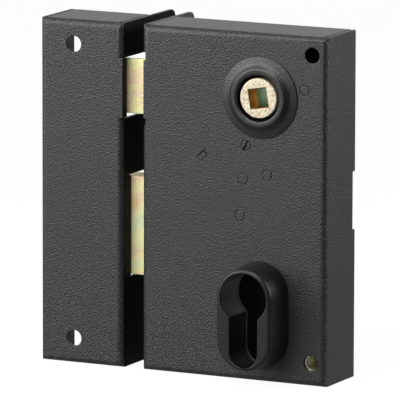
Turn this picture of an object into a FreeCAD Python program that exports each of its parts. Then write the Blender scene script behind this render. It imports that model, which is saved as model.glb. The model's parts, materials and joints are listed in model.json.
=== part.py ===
"""Rim lock with its keeper box, in millimetres.

The lock case and the keeper box are folded from steel sheet and fixed to the face of a gate or door
and of its frame. A square spindle turns the follower, whose arm draws the sprung latch. A profile
cylinder throws the deadbolt and, through a lever, draws the latch too. Both bolts stand thrown.

X runs from the keeper to the lock, Y from the front face to the mounting plane at Y = 0, Z up.
The origin is the spindle axis where it crosses the mounting plane.
"""
import FreeCAD, Part
import math
import os

# Case and keeper
DEPTH = 24.0              # front face to mounting plane
HEIGHT = 124.9            # both boxes
SPINDLE_FROM_TOP = 22.9
BACKSET = 47.0            # door edge to the spindle axis
CASE_WIDTH = 72.9
KEEPER_WIDTH = 33.4
SIDE_GAP = 7.5            # keeper to case
SHEET = 1.5
BEND_RADIUS = 2.5         # outside of a fold
SEAM = 0.3                # between a flange and the wall beside it
RELIEF_RADIUS = 0.55      # round notch where two folds meet
FOREND_LIP = 15.2         # case wall behind the mounting plane
KEEPER_LIP = 17.9         # keeper wall behind the mounting plane
LIP_CORNER = 3.0
LIP_HOLE_RADIUS = 2.25
LIP_HOLE_FROM_END = 18.0

# Fixing holes
FIXING_HOLE_RADIUS = 2.75
FIXING_FROM_SIDE = 5.7
FIXING_FROM_TOP = 6.6
FIXING_FROM_FOOT = 8.3
KEEPER_HOLE_RADIUS = 2.9
KEEPER_HOLE_FROM_SIDE = 13.65
KEEPER_HOLE_FROM_TOP = 8.8
KEEPER_HOLE_FROM_FOOT = 9.2
TUBE_RADIUS = 3.15
TUBE_BORE = 2.6

# Cylinder and its collar
CENTRES = 70.0            # spindle to cylinder axis
CYLINDER_RADIUS = 8.5
CYLINDER_BODY = 10.0      # width of the lower body
CYLINDER_DROP = 24.5      # axis to the lowest point of the profile
CYLINDER_CLEARANCE = 0.4
COLLAR_STAND = 13.2
COLLAR_TIP_RADIUS = 10.5
COLLAR_BASE_RADIUS = 11.5
COLLAR_DROP = 15.5        # between the centres of its two round ends
COLLAR_EDGE = 0.7
SPIGOT_RADIUS = 2.0
CYLINDER_SCREW_DROP = 14.5

# Follower and its rose
SQUARE = 7.35
SQUARE_TURN = 9.5         # degrees, counter-clockwise seen from the front
NOSE_RADIUS = 7.1
NOSE_STAND = 1.7          # in front of the case
NOSE_CHAMFER = 0.2
HUB_SET_BACK = 6.0        # from the front face
HUB_RADIUS = 9.0
RUNNING_FIT = 0.05
ROSE_BASE_RADIUS = 14.6
ROSE_STAND = 2.3
ROSE_MOUTH_RADIUS = 8.25
ROSE_LIP = 1.05           # rounding of its crest
ROSE_WAIST = (2.6, 0.55)  # hollow of the slope: in from the base edge, out from its rim
ROSE_RIM = 0.4            # height of its outer edge
ROSE_SEAT = 0.5           # floor of the mouth, in front of the case
ROSE_SPIGOT_RADIUS = 8.9
ARM_LENGTH = 20.5
ARM_TIP_RADIUS = 2.5
ARM_REST = 17.8           # degrees from straight down, towards the keeper
FOLLOWER_TURN = 40.0      # degrees
PIN_REACH = 14.0          # spindle to the spring pin
PIN_RADIUS = 2.0
WIRE_RADIUS = 0.55        # follower spring

# Latch
LATCH_TRAVEL = 14.0
LATCH_HEIGHT = 19.8
LATCH_LOW = -10.3         # underside, from the spindle
LATCH_FRONT = 5.8         # set back from the case front
LATCH_SHEET = 2.0
LATCH_BACK = 18.8         # back of the folded head, from the case front
LATCH_NOSE = 0.8
RAMP_HEIGHT = 10.0
TAIL_SHEET = 2.0
TAIL_LEFT = 1.8           # from the door edge, as thrown
HOOK_GAP = 0.7
HOOK_TOP = -18.4
HOOK_WIDTH = 4.6
STRIP_TOP = -23.4
STRIP_BOTTOM = -31.5
WEB_RIGHT = -31.0
EAR = 2.0

# Deadbolt
BOLT_THROW = 20.0
BOLT_HEIGHT = 35.7
BOLT_LOW = -68.9
BOLT_FRONT = 7.3          # set back from the case front
BOLT_THICK = 8.5
BOLT_LENGTH = 30.3
BOLT_CHAMFER = 0.9
BOLT_TAIL_SHEET = 2.5
BOLT_TAIL_TOP = -38.3
BOLT_TAIL_FOOT = -60.5
BOLT_TAIL_RIGHT = 3.4
CAM_NOTCH_WIDTH = 13.0
CAM_NOTCH_DEPTH = 7.0
DETENT_DEPTH = 1.0
DETENT_WIRE = 0.45        # radius
NIB_X = -14.5
NIB_RUN = 2.0
NOTCH_HALF = 1.2

# Posts: place of each from the spindle, and sizes
POST_RADIUS = 2.0
SHANK_RADIUS = 1.85
SHANK_GAP = 0.03
COVER_POST = (17.2, 3.7)
SPRING_POST = (-5.66, -17.65)
GUIDE_POST = (2.75, -27.6)
LEVER_POST = (-7.94, -42.8)
DETENT_POST = (-6.84, BOLT_TAIL_TOP + 8.7)
LATCH_SPRING_POST = (-22.9, -22.5)
LATCH_SPRING_POST_RADIUS = 2.6
FLAT_SHANK = (3.7, 2.0)   # width and thickness
FLAT_SHANK_TURN = 42.0    # degrees, counter-clockwise seen from the front
STAKE_SLOT = (0.5, 0.4)   # width and depth
STAKE_SLOT_TURN = 26.0    # degrees from upright, clockwise seen from the front
SHOULDER_RADIUS = 2.5
SCREW_RADIUS = 1.5
SCREW_LENGTH = 7.5
SCREW_HEAD_RADIUS = 2.8
SCREW_HEAD = 1.3          # depth of the countersunk head

# Lever
LEVER_SHEET = 2.0
LEVER_GAP = 0.8           # in front of the latch tail
LEVER_LOWER = 13.0
LEVER_HALF_WIDTH = 3.05
DRIVE_PIN = (-16.5, -25.2)
DRIVE_PIN_RADIUS = 1.25
DRIVE_PIN_PLAY = 0.4

# Springs, windows and clearances
COIL_RADIUS = 2.1
COIL_WIRE = 0.6
COIL_TURNS = 6
COIL_RUNS = 12            # straight runs to a turn
WINDOW_CLEARANCE = 0.4
WINDOW_RELIEF = 2.9       # notch in the bend above and below the latch window
GUIDE_CLEARANCE = 0.15
KEEPER_CLEARANCE = 0.7    # above and below a bolt in the keeper
TONGUE_SHORT = 0.6        # unbent lip at the case's latch window, short of the side
KEEPER_WINDOW_BACK = 2.5  # from the mounting plane
BOLT_WINDOW_FRONT = 5.0   # keeper's window, from the front face
COVER_GAP = 0.2
TAB_HEIGHT = 12.0
TAB_SET_BACK = 0.2
PRY_NOTCH = (53.4, 74.2, 1.8)   # low and high from the foot, depth

# Places worked out from the sizes above
FRONT = -DEPTH
INNER_FRONT = FRONT + SHEET
TOP = SPINDLE_FROM_TOP
FOOT = TOP - HEIGHT
EDGE = -BACKSET
CASE_RIGHT = EDGE + CASE_WIDTH
KEEPER_RIGHT = EDGE - SIDE_GAP
KEEPER_LEFT = KEEPER_RIGHT - KEEPER_WIDTH
COVER_FRONT = -SHEET
FIXING_X = CASE_RIGHT - FIXING_FROM_SIDE
FIXING_TOP = TOP - FIXING_FROM_TOP
FIXING_FOOT = FOOT + FIXING_FROM_FOOT
LATCH_TOP = LATCH_LOW + LATCH_HEIGHT
LATCH_MIDDLE = LATCH_LOW + LATCH_HEIGHT / 2
LATCH_TIP = EDGE - LATCH_TRAVEL
LATCH_FACE = FRONT + LATCH_FRONT
LATCH_REAR = FRONT + LATCH_BACK
TAIL_REAR = LATCH_REAR - LATCH_SHEET
TAIL_FRONT = TAIL_REAR - TAIL_SHEET
BOLT_TOP = BOLT_LOW + BOLT_HEIGHT
BOLT_TIP = EDGE - BOLT_THROW
BOLT_FACE = FRONT + BOLT_FRONT
BOLT_REAR = BOLT_FACE + BOLT_THICK
BOLT_TAIL_FACE = BOLT_FACE - BOLT_TAIL_SHEET
LEVER_REAR = TAIL_FRONT - LEVER_GAP
LEVER_FACE = LEVER_REAR - LEVER_SHEET


def box(x0, x1, y0, y1, z0, z1):
    """Block between two corners."""
    return Part.makeBox(x1 - x0, y1 - y0, z1 - z0, FreeCAD.Vector(x0, y0, z0))


def rod(x, z, y0, y1, radius):
    """Round bar along Y."""
    return Part.makeCylinder(radius, y1 - y0, FreeCAD.Vector(x, y0, z), FreeCAD.Vector(0, 1, 0))


def rod_x(x0, x1, y, z, radius):
    """Round bar along X."""
    return Part.makeCylinder(radius, x1 - x0, FreeCAD.Vector(x0, y, z), FreeCAD.Vector(1, 0, 0))


def plate(points, y0, y1):
    """Straight-sided outline in X and Z, carried from y0 to y1."""
    corners = [FreeCAD.Vector(x, y0, z) for x, z in points]
    face = Part.Face(Part.makePolygon(corners + corners[:1]))
    return face.extrude(FreeCAD.Vector(0, y1 - y0, 0))


def slot(x0, x1, z, y0, y1, radius):
    """Round-ended slot along X, with its end centres at x0 and x1."""
    middle = box(x0, x1, y0, y1, z - radius, z + radius)
    return middle.fuse([rod(x0, z, y0, y1, radius), rod(x1, z, y0, y1, radius)]).removeSplitter()


def turned(shape, x, z, degrees):
    """Turn a shape about an axis along Y, clockwise seen from the front."""
    copy = shape.copy()
    copy.rotate(FreeCAD.Vector(x, 0, z), FreeCAD.Vector(0, 1, 0), degrees)
    return copy


def edges_near(shape, test):
    """Edges whose centre of mass passes a test on x, y, z."""
    return [e for e in shape.Edges if test(e.CenterOfMass.x, e.CenterOfMass.y, e.CenterOfMass.z)]


def rounded_block(x0, x1, y0, y1, z0, z1, radius):
    """Block whose four front edges are folds of the given radius."""
    block = box(x0, x1, y0, y1, z0, z1)
    return block.makeFillet(radius, edges_near(block, lambda x, y, z: abs(y - y0) < 1e-6))


def folded_tray(x0, x1):
    """Sheet tray open at the back, folded on four sides, with a slit seam at each corner."""
    outside = rounded_block(x0, x1, FRONT, 0.0, FOOT, TOP, BEND_RADIUS)
    inside = rounded_block(x0 + SHEET, x1 - SHEET, INNER_FRONT, BEND_RADIUS,
                           FOOT + SHEET, TOP - SHEET, BEND_RADIUS - SHEET)
    tray = outside.cut(inside)
    fold_end = FRONT + BEND_RADIUS
    cuts = []
    for seam_x in (x0 + SHEET, x1 - SHEET - SEAM):
        for z0 in (FOOT - SEAM, TOP - SHEET - SEAM):
            z1 = z0 + SHEET + 2 * SEAM
            cuts.append(box(seam_x, seam_x + SEAM, fold_end, SEAM, z0, z1))
            cuts.append(Part.makeCylinder(RELIEF_RADIUS, z1 - z0,
                                          FreeCAD.Vector(seam_x + SEAM / 2, fold_end, z0)))
    return tray.cut(cuts)


def wall_lip(x0, reach):
    """Part of a side wall that goes on behind the mounting plane, with rounded corners."""
    lip = box(x0, x0 + SHEET, -BEND_RADIUS, reach, FOOT, TOP)
    return lip.makeFillet(LIP_CORNER, edges_near(
        lip, lambda x, y, z: abs(y - reach) < 1e-6 and (abs(z - FOOT) < 1e-6 or abs(z - TOP) < 1e-6)))


def lip_holes(x0, reach):
    """Two screw holes through a lip."""
    return [rod_x(x0 - 1, x0 + SHEET + 1, reach / 2, z, LIP_HOLE_RADIUS)
            for z in (FOOT + LIP_HOLE_FROM_END, TOP - LIP_HOLE_FROM_END)]


def euro_profile(clearance, y0, y1):
    """Profile of the cylinder with a clearance all round, along Y."""
    axis_z = -CENTRES
    half = CYLINDER_BODY / 2 + clearance
    foot = axis_z - CYLINDER_DROP - clearance
    parts = [box(-half, half, y0, y1, foot + half, axis_z), rod(0, foot + half, y0, y1, half)]
    return rod(0, axis_z, y0, y1, CYLINDER_RADIUS + clearance).fuse(parts).removeSplitter()


def flat_bar(place, width, height, turn, y0, y1):
    """Square or flat bar along Y, turned counter-clockwise seen from the front."""
    x, z = place
    bar = box(x - width / 2, x + width / 2, y0, y1, z - height / 2, z + height / 2)
    return turned(bar, x, z, -turn)


def stake_holes():
    """Holes in the case front for the shanks of the posts."""
    y0, y1 = FRONT - 1, INNER_FRONT + 1
    round_posts = (COVER_POST, SPRING_POST, GUIDE_POST, LEVER_POST, DETENT_POST)
    holes = [rod(x, z, y0, y1, SHANK_RADIUS + SHANK_GAP) for x, z in round_posts]
    width, height = [size + 2 * SHANK_GAP for size in FLAT_SHANK]
    holes.append(flat_bar(LATCH_SPRING_POST, width, height, FLAT_SHANK_TURN, y0, y1))
    return holes


def collar_spigots(radius, y0, y1):
    """Two round spigots that hold the collar, one each side of the profile."""
    offset = (CYLINDER_BODY / 2 + COLLAR_BASE_RADIUS) / 2 + CYLINDER_CLEARANCE / 2
    z = -CENTRES - COLLAR_DROP
    return [rod(side * offset, z, y0, y1, radius) for side in (-1, 1)]


def lock_case():
    """Folded case with its lip, bolt windows, front holes and the notch for prising off the cover."""
    tray = folded_tray(EDGE, CASE_RIGHT).fuse(wall_lip(EDGE, FOREND_LIP))
    gap = WINDOW_CLEARANCE
    low, high = LATCH_LOW - gap, LATCH_TOP + gap
    flat_end = EDGE + SHEET + BEND_RADIUS
    window = box(EDGE - 1, flat_end, FRONT - 1, LATCH_REAR + gap, low, high)
    relief = box(EDGE - 1, EDGE + SHEET, FRONT - 1, FRONT + BEND_RADIUS + SEAM,
                 low - WINDOW_RELIEF, high + WINDOW_RELIEF)
    tongue = box(EDGE + TONGUE_SHORT, flat_end, FRONT, INNER_FRONT, low, high)
    tray = tray.cut([window, relief]).fuse(tongue).removeSplitter()
    y0, y1 = FRONT - 1, INNER_FRONT + 1
    wall = (EDGE - 1, EDGE + SHEET + 0.5)
    cuts = lip_holes(EDGE, FOREND_LIP) + stake_holes()
    cuts += collar_spigots(SPIGOT_RADIUS + SHANK_GAP, y0, y1)
    cuts.append(box(*wall, BOLT_FACE - gap, BOLT_REAR + gap, BOLT_LOW - gap, BOLT_TOP + gap))
    cuts.append(rod_x(*wall, -DEPTH / 2, -CENTRES - CYLINDER_SCREW_DROP, FIXING_HOLE_RADIUS))
    cuts += [box(*wall, COVER_FRONT - SEAM / 2, SEAM / 2, z - SEAM / 2, z + TAB_HEIGHT + SEAM / 2)
             for z in tab_places()]
    cuts.append(rod(0, 0, y0, y1, ROSE_SPIGOT_RADIUS + SHANK_GAP))
    cuts.append(euro_profile(CYLINDER_CLEARANCE, y0, y1))
    cuts += [rod(FIXING_X, z, y0, y1, FIXING_HOLE_RADIUS) for z in (FIXING_TOP, FIXING_FOOT)]
    low, high, deep = PRY_NOTCH
    cuts.append(box(CASE_RIGHT - SHEET - 1, CASE_RIGHT + 1, -deep, 1, FOOT + low, FOOT + high))
    return tray.cut(cuts).removeSplitter()


def tab_places():
    """Lower ends of the two cover tabs that hook into the door-edge wall."""
    return (FOOT + LIP_HOLE_FROM_END + 2 * LIP_CORNER, TOP - LIP_HOLE_FROM_END - TAB_HEIGHT)


def back_cover():
    """Zinc-plated plate that closes the case, with tabs in the door-edge wall."""
    x0 = EDGE + SHEET + COVER_GAP
    x1 = CASE_RIGHT - SHEET - COVER_GAP
    cover = box(x0, x1, COVER_FRONT, 0.0, FOOT + SHEET + COVER_GAP, TOP - SHEET - COVER_GAP)
    tabs = [box(EDGE + COVER_GAP, x0 + 1, COVER_FRONT, -TAB_SET_BACK, z, z + TAB_HEIGHT)
            for z in tab_places()]
    cover = cover.fuse(tabs).removeSplitter()
    y0, y1 = COVER_FRONT - 1, 1.0
    cuts = [rod(0, 0, y0, y1, NOSE_RADIUS + RUNNING_FIT), euro_profile(CYLINDER_CLEARANCE, y0, y1)]
    cuts += [rod(FIXING_X, z, y0, y1, FIXING_HOLE_RADIUS) for z in (FIXING_TOP, FIXING_FOOT)]
    for x, z in (COVER_POST, LEVER_POST):
        cuts.append(rod(x, z, y0, y1, SCREW_RADIUS + SHANK_GAP))
        cuts.append(countersink(x, z, RUNNING_FIT))
    return cover.cut(cuts)


def countersink(x, z, clearance):
    """Cone of a screw head sunk flush with the mounting plane."""
    return Part.makeCone(SCREW_RADIUS + clearance, SCREW_HEAD_RADIUS + clearance, SCREW_HEAD,
                         FreeCAD.Vector(x, -SCREW_HEAD, z), FreeCAD.Vector(0, 1, 0))


def cover_screws():
    """Countersunk machine screws through the cover into its two posts."""
    screws = []
    for x, z in (COVER_POST, LEVER_POST):
        shank = rod(x, z, -SCREW_LENGTH, -SCREW_HEAD / 2, SCREW_RADIUS)
        slot_bars = [box(x - 1.7, x + 1.7, -0.7, 1, z - 0.35, z + 0.35),
                     box(x - 0.35, x + 0.35, -0.7, 1, z - 1.7, z + 1.7)]
        screws.append(countersink(x, z, 0).fuse(shank).cut(slot_bars))
    return Part.makeCompound(screws)


def collar_outline(radius, y):
    """Round-ended upright outline of the collar at one depth."""
    top, low = -CENTRES, -CENTRES - COLLAR_DROP
    edges = []
    for z, sign in ((top, 1), (low, -1)):
        arc = Part.Arc(FreeCAD.Vector(-sign * radius, y, z), FreeCAD.Vector(0, y, z + sign * radius),
                       FreeCAD.Vector(sign * radius, y, z))
        edges.append(arc.toShape())
    edges.insert(1, Part.makeLine(FreeCAD.Vector(radius, y, top), FreeCAD.Vector(radius, y, low)))
    edges.append(Part.makeLine(FreeCAD.Vector(-radius, y, low), FreeCAD.Vector(-radius, y, top)))
    return Part.Wire(edges)


def cylinder_collar():
    """Cast collar round the cylinder, drawn in towards its face, with two spigots in the case."""
    face_y = FRONT - COLLAR_STAND
    ends = [collar_outline(COLLAR_BASE_RADIUS, FRONT), collar_outline(COLLAR_TIP_RADIUS, face_y)]
    body = Part.makeLoft(ends, True, True)
    body = body.makeChamfer(COLLAR_EDGE, edges_near(body, lambda x, y, z: abs(y - face_y) < 0.01))
    body = body.cut(euro_profile(CYLINDER_CLEARANCE, face_y - 1, INNER_FRONT))
    return body.fuse(collar_spigots(SPIGOT_RADIUS, FRONT - 2.0, INNER_FRONT))


def follower_rose():
    """Turned, volcano-shaped ring whose spigot in the case carries the follower's nose."""
    mouth = ROSE_MOUTH_RADIUS
    bearing = NOSE_RADIUS + RUNNING_FIT
    inward, outward = ROSE_WAIST
    rim = FRONT - ROSE_RIM
    outline = [
        (bearing, INNER_FRONT), (ROSE_SPIGOT_RADIUS, INNER_FRONT), (ROSE_SPIGOT_RADIUS, FRONT),
        (ROSE_BASE_RADIUS, FRONT), (ROSE_BASE_RADIUS, rim), (ROSE_BASE_RADIUS - inward, rim - outward),
    ]
    for angle in (45, 90, 135, 180):
        across = math.cos(math.radians(angle))
        rise = math.sin(math.radians(angle))
        outline.append((mouth + ROSE_LIP * (1 + across), FRONT - ROSE_STAND + ROSE_LIP * (1 - rise)))
    outline += [(mouth, FRONT - ROSE_SEAT), (bearing, FRONT - ROSE_SEAT)]
    corners = [FreeCAD.Vector(radius, y, 0) for radius, y in outline]
    profile = Part.Face(Part.makePolygon(corners + corners[:1]))
    return profile.revolve(FreeCAD.Vector(0, 0, 0), FreeCAD.Vector(0, 1, 0), 360)


def arm_point(reach, sideways=0.0):
    """Point along the follower's arm at rest, with an offset to its right side."""
    angle = math.radians(ARM_REST)
    return (-reach * math.sin(angle) + sideways * math.cos(angle),
            -reach * math.cos(angle) - sideways * math.sin(angle))


def follower():
    """Hub with the square hole, two journals, the arm that draws the latch and the spring pin."""
    hub = rod(0, 0, FRONT + HUB_SET_BACK, COVER_FRONT - 2.5, HUB_RADIUS)
    journals = rod(0, 0, FRONT - NOSE_STAND, -0.2, NOSE_RADIUS)
    journals = journals.makeChamfer(NOSE_CHAMFER, edges_near(
        journals, lambda x, y, z: abs(y - FRONT + NOSE_STAND) < 1e-6))
    y0, y1 = TAIL_FRONT - 0.3, COVER_FRONT - 3.5
    tip_x, tip_z = arm_point(ARM_LENGTH)
    root = ARM_TIP_RADIUS + 1.0
    sides = [arm_point(0, -root), arm_point(0, root), arm_point(ARM_LENGTH, ARM_TIP_RADIUS),
             arm_point(ARM_LENGTH, -ARM_TIP_RADIUS)]
    arm = plate(sides, y0, y1).fuse(rod(tip_x, tip_z, y0, y1, ARM_TIP_RADIUS))
    pin_x, pin_z = arm_point(PIN_REACH)
    pin = rod(pin_x, pin_z, INNER_FRONT + 1.2, y0 + 1, PIN_RADIUS)
    body = hub.fuse([journals, arm, pin]).removeSplitter()
    return body.cut(flat_bar((0, 0), SQUARE, SQUARE, SQUARE_TURN, FRONT - NOSE_STAND - 1, 1))


def wire_form(edges, radius):
    """Spring wire along straight and curved runs, drawn six-sided."""
    path = Part.Wire(edges)
    start = edges[0].valueAt(edges[0].FirstParameter)
    heading = edges[0].tangentAt(edges[0].FirstParameter)
    side = FreeCAD.Vector(0, 1, 0)
    up = heading.cross(side).normalize()
    turns = [math.radians(60 * step) for step in range(7)]
    section = Part.makePolygon([start + side * radius * math.cos(t) + up * radius * math.sin(t)
                                for t in turns])
    return path.makePipeShell([section], True, False, 1)


def follower_spring():
    """Hairpin spring round the hub, with its legs astride the fixed post and the follower's pin."""
    y = INNER_FRONT + 2.5
    ring = NOSE_RADIUS + RUNNING_FIT + 0.6 + WIRE_RADIUS
    leg = PIN_RADIUS + WIRE_RADIUS + GUIDE_CLEARANCE
    foot = math.hypot(*SPRING_POST) + POST_RADIUS
    drop = math.sqrt(ring ** 2 - leg ** 2)

    def at(reach, side):
        x, z = arm_point(reach, side)
        return FreeCAD.Vector(x, y, z)

    edges = [
        Part.makeLine(at(foot, -leg), at(drop, -leg)),
        Part.Arc(at(drop, -leg), at(-ring, 0), at(drop, leg)).toShape(),
        Part.makeLine(at(drop, leg), at(foot, leg)),
    ]
    return wire_form(edges, WIRE_RADIUS)


def staked_post(place, y_end, radius=POST_RADIUS):
    """Round post staked through the case front."""
    x, z = place
    shank = rod(x, z, FRONT, INNER_FRONT, SHANK_RADIUS)
    return shank.fuse(rod(x, z, INNER_FRONT, y_end, radius))


def spring_centre_post():
    """Fixed post between the legs of the follower spring, slotted across its staked end."""
    width, deep = STAKE_SLOT
    slot_bar = flat_bar(SPRING_POST, width, 2 * POST_RADIUS, -STAKE_SLOT_TURN, FRONT - 1, FRONT + deep)
    return staked_post(SPRING_POST, BOLT_FACE + 0.5).cut(slot_bar)


def latch_guide_post():
    """Post on which the slot of the latch tail slides."""
    return staked_post(GUIDE_POST, TAIL_REAR + 1.0)


def detent_post():
    """Post that holds the detent spring."""
    return staked_post(DETENT_POST, BOLT_FACE + 0.5)


def cover_post():
    """Post that takes a cover screw."""
    x, z = COVER_POST
    return staked_post(COVER_POST, COVER_FRONT, SHOULDER_RADIUS).cut(
        rod(x, z, -SCREW_LENGTH - 1, 0, SCREW_RADIUS + SHANK_GAP))


def lever_pivot_post():
    """Post that guides the deadbolt tail, carries the lever and takes a cover screw."""
    x, z = LEVER_POST
    shoulder = LEVER_FACE - GUIDE_CLEARANCE
    post = staked_post(LEVER_POST, shoulder, SHOULDER_RADIUS)
    post = post.fuse(rod(x, z, shoulder, COVER_FRONT, POST_RADIUS))
    return post.cut(rod(x, z, -SCREW_LENGTH - 1, 0, SCREW_RADIUS + SHANK_GAP))


def latch_spring_post():
    """Flat-shanked post that the latch spring pushes against."""
    x, z = LATCH_SPRING_POST
    shank = flat_bar(LATCH_SPRING_POST, *FLAT_SHANK, FLAT_SHANK_TURN, FRONT, INNER_FRONT)
    return shank.fuse(rod(x, z, INNER_FRONT, TAIL_FRONT - 0.5, LATCH_SPRING_POST_RADIUS))


def fixing_tube():
    """Spacer tube between case and cover for the lower fixing screw."""
    outer = rod(FIXING_X, FIXING_FOOT, INNER_FRONT, COVER_FRONT, TUBE_RADIUS)
    return outer.cut(rod(FIXING_X, FIXING_FOOT, FRONT, 0, TUBE_BORE))


def latch_bolt():
    """Latch head folded from strip: tall flat front, and a narrower ramp and leg behind it."""
    nose = LATCH_TIP + LATCH_NOSE
    ramp_end = LATCH_TIP + (LATCH_REAR - LATCH_FACE) - LATCH_SHEET
    inner = LATCH_SHEET * math.tan(math.radians(22.5))
    front = box(nose, EDGE + LATCH_TRAVEL + LATCH_SHEET, LATCH_FACE, LATCH_FACE + LATCH_SHEET,
                LATCH_LOW, LATCH_TOP)
    low = LATCH_MIDDLE - RAMP_HEIGHT / 2
    outline = [
        (nose, LATCH_FACE), (LATCH_TIP, LATCH_FACE + LATCH_NOSE), (LATCH_TIP, LATCH_FACE + LATCH_SHEET),
        (ramp_end, LATCH_REAR), (WEB_RIGHT - LATCH_SHEET, LATCH_REAR),
        (WEB_RIGHT - LATCH_SHEET, TAIL_REAR), (ramp_end + inner, TAIL_REAR),
        (LATCH_TIP + LATCH_SHEET + inner, LATCH_FACE + LATCH_SHEET), (nose + LATCH_SHEET * 2, LATCH_FACE),
    ]
    corners = [FreeCAD.Vector(x, y, low) for x, y in outline]
    ramp = Part.Face(Part.makePolygon(corners + corners[:1])).extrude(FreeCAD.Vector(0, 0, RAMP_HEIGHT))
    edge = box(LATCH_TIP, nose + 0.5, LATCH_FACE, LATCH_FACE + LATCH_SHEET, LATCH_LOW, LATCH_TOP)
    edge = edge.makeChamfer(LATCH_NOSE, edges_near(
        edge, lambda x, y, z: abs(x - LATCH_TIP) < 1e-6 and abs(y - LATCH_FACE) < 1e-6))
    head = front.fuse([edge, ramp]).removeSplitter()
    return head.cut([rod(x, z, TAIL_FRONT, LATCH_REAR + 1, POST_RADIUS) for x, z in rivet_places_latch()])


def rivet_places_latch():
    """Two rivets that join the latch head to its tail."""
    margin = 1.25 * POST_RADIUS
    return ((EDGE + TAIL_LEFT + margin, LATCH_MIDDLE),
            (WEB_RIGHT - LATCH_SHEET - margin, LATCH_MIDDLE))


def rivets(places, y0, y1):
    """Round rivets hammered flush at both ends."""
    return Part.makeCompound([rod(x, z, y0, y1, POST_RADIUS - SHANK_GAP) for x, z in places])


def latch_tail():
    """Plate with the spring ear, the guide slot and the hook that the follower's arm draws."""
    left = EDGE + TAIL_LEFT
    tip_x = arm_point(ARM_LENGTH)[0]
    hook_x = tip_x + ARM_TIP_RADIUS + HOOK_GAP
    strip_right = GUIDE_POST[0] + POST_RADIUS + GUIDE_CLEARANCE + 4.1
    web_top = LATCH_MIDDLE + RAMP_HEIGHT / 2 - 0.5
    outline = [
        (left, web_top), (WEB_RIGHT, web_top), (WEB_RIGHT, STRIP_TOP), (hook_x, STRIP_TOP),
        (hook_x, HOOK_TOP), (hook_x + HOOK_WIDTH, HOOK_TOP), (hook_x + HOOK_WIDTH, STRIP_TOP),
        (strip_right, STRIP_TOP), (strip_right, STRIP_BOTTOM), (left, STRIP_BOTTOM),
    ]
    tail = plate(outline, TAIL_FRONT, TAIL_REAR)
    coil_y = coil_axis_y()
    ear = box(left, left + EAR, coil_y - COIL_RADIUS - 1.0, TAIL_FRONT + 0.5,
              LATCH_SPRING_POST[1] - COIL_RADIUS - 1.2, LATCH_SPRING_POST[1] + COIL_RADIUS + 1.0)
    tail = tail.fuse(ear)
    reach = POST_RADIUS + GUIDE_CLEARANCE
    cuts = [slot(GUIDE_POST[0] - LATCH_TRAVEL, GUIDE_POST[0], GUIDE_POST[1], TAIL_FRONT - 1, TAIL_REAR + 1,
                 reach)]
    cuts.append(rod(*DRIVE_PIN, TAIL_FRONT - 1, TAIL_REAR + 1, DRIVE_PIN_RADIUS))
    cuts += [rod(x, z, TAIL_FRONT - 1, TAIL_REAR + 1, POST_RADIUS) for x, z in rivet_places_latch()]
    return tail.cut(cuts)


def coil_axis_y():
    """Depth of the latch spring's axis, clear in front of the tail."""
    return TAIL_FRONT - COIL_RADIUS - COIL_WIRE - 1.0


def lever_drive_pin():
    """Pin in the latch tail that stands in the lever's slot."""
    return rod(*DRIVE_PIN, LEVER_FACE - 0.6, TAIL_REAR, DRIVE_PIN_RADIUS - SHANK_GAP)


def lever_lean():
    """Angle of the lever at rest, in degrees from upright, and the pin's distance from its pivot."""
    dx = DRIVE_PIN[0] - LEVER_POST[0]
    dz = DRIVE_PIN[1] - LEVER_POST[1]
    return math.degrees(math.atan2(dx, dz)), math.hypot(dx, dz)


def latch_lever():
    """Lever on its post: the key pushes its lower end, and its slot draws the latch's pin."""
    x, z = LEVER_POST
    lean, far = lever_lean()
    near = DRIVE_PIN[1] - LEVER_POST[1]
    y0, y1 = LEVER_FACE, LEVER_REAR
    play = DRIVE_PIN_RADIUS + DRIVE_PIN_PLAY
    end = far + DRIVE_PIN_RADIUS + GUIDE_CLEARANCE + 1.6
    upper = box(x - LEVER_HALF_WIDTH, x + LEVER_HALF_WIDTH, y0, y1, z, z + end)
    lower = box(x - POST_RADIUS, x + POST_RADIUS, y0, y1, z - LEVER_LOWER, z)
    boss = rod(x, z, y0, y1, 2 * POST_RADIUS)
    toe = rod(x, z - LEVER_LOWER, y0, y1, SHOULDER_RADIUS)
    body = upper.fuse([lower, boss, toe]).removeSplitter()
    slot_low = z + near - DRIVE_PIN_RADIUS - GUIDE_CLEARANCE
    slot_high = z + far + DRIVE_PIN_RADIUS + GUIDE_CLEARANCE
    cuts = [rod(x, z, y0 - 1, y1 + 1, POST_RADIUS + RUNNING_FIT),
            box(x - play, x + play, y0 - 1, y1 + 1, slot_low, slot_high)]
    return turned(body.cut(cuts), x, z, lean)


def latch_spring():
    """Compression spring between the tail's ear and its post, wound in short straight runs."""
    x0 = EDGE + TAIL_LEFT + EAR
    x1 = LATCH_SPRING_POST[0] - LATCH_SPRING_POST_RADIUS
    half = COIL_WIRE / 2
    steps = COIL_TURNS * COIL_RUNS
    points = []
    for step in range(steps + 1):
        turn = 2 * math.pi * step / COIL_RUNS
        points.append(FreeCAD.Vector(x0 + half + (x1 - x0 - 2 * half) * step / steps,
                                     coil_axis_y() + COIL_RADIUS * math.cos(turn),
                                     LATCH_SPRING_POST[1] + COIL_RADIUS * math.sin(turn)))
    return wire_form([Part.makeLine(a, b) for a, b in zip(points, points[1:])], half)


def deadbolt():
    """Solid bar with chamfered nose edges."""
    bar = box(BOLT_TIP, BOLT_TIP + BOLT_LENGTH, BOLT_FACE, BOLT_REAR, BOLT_LOW, BOLT_TOP)
    bar = bar.makeChamfer(BOLT_CHAMFER, edges_near(bar, lambda x, y, z: abs(x - BOLT_TIP) < 1e-6))
    return bar.cut([rod(x, z, BOLT_FACE - 1, BOLT_REAR + 1, POST_RADIUS) for x, z in rivet_places_bolt()])


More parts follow.
